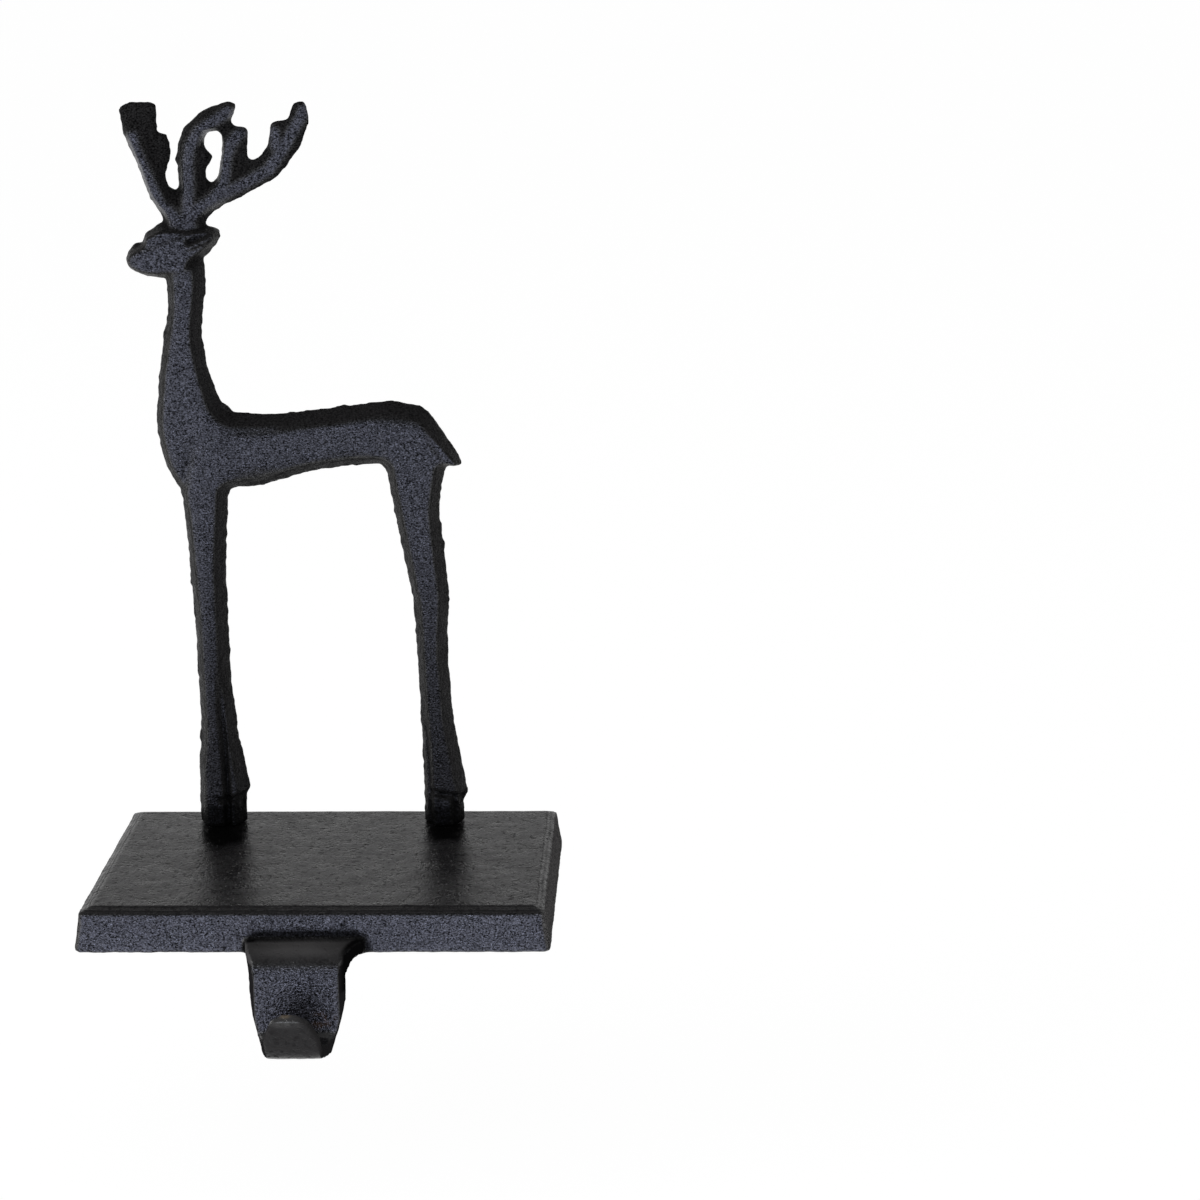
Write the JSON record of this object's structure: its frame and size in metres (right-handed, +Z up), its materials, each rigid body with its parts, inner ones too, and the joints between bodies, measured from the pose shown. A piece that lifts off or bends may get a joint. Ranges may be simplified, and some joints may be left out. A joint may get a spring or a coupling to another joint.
{
  "type": "mantel stocking holder",
  "caption": "Heavy cast plate that rests on a mantel shelf, with a hook hanging over the front edge and a flat antlered deer standing on top.",
  "frame": {"origin": "centre of the plate's flat underside, where it rests on the shelf", "axes": "+Z up through the plate and the deer, -Y towards the front of the shelf and the hook, +X to the right seen from the front"},
  "size_m": [0.1142, 0.0998, 0.2162],
  "materials": {
    "base_iron": "black painted sand casting, satin",
    "figure_iron": "black painted sand casting, satin",
    "screw_steel": "zinc plated"
  },
  "bodies": {
    "root": {"hook_base": "base_iron", "reindeer": "figure_iron", "foot_screw_front": "screw_steel", "foot_screw_rear": "screw_steel"}
  },
  "joints": []
}
